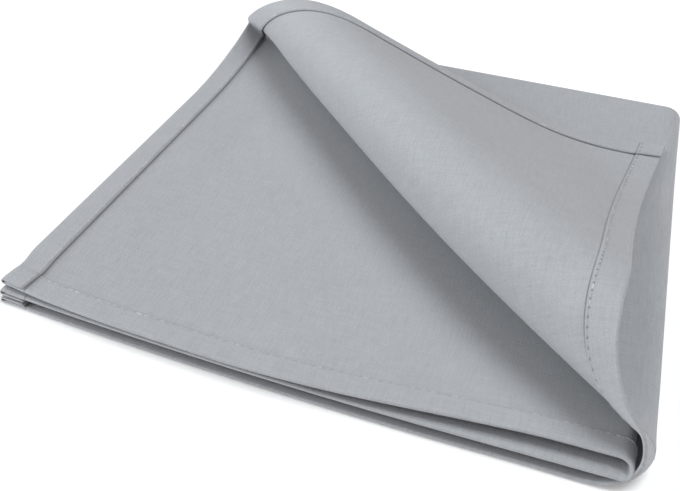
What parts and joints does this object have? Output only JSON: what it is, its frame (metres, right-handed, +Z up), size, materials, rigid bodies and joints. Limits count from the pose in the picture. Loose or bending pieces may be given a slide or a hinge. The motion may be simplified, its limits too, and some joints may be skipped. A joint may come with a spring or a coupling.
{
  "type": "folded cloth napkin",
  "caption": "Hemmed cloth napkin folded in quarters, its top corner turned back over the diagonal in a soft roll.",
  "frame": {"origin": "centre of the folded pile's bounding box, on the surface it lies on", "axes": "+X from the open left edge to the fold on the right, +Y from the open front edge to the fold at the back, +Z up"},
  "size_m": [0.2548, 0.286, 0.0515],
  "materials": {
    "grey_cotton": "matt plain-weave cotton, light grey"
  },
  "bodies": {
    "root": {"napkin_cloth": "grey_cotton"}
  },
  "joints": []
}
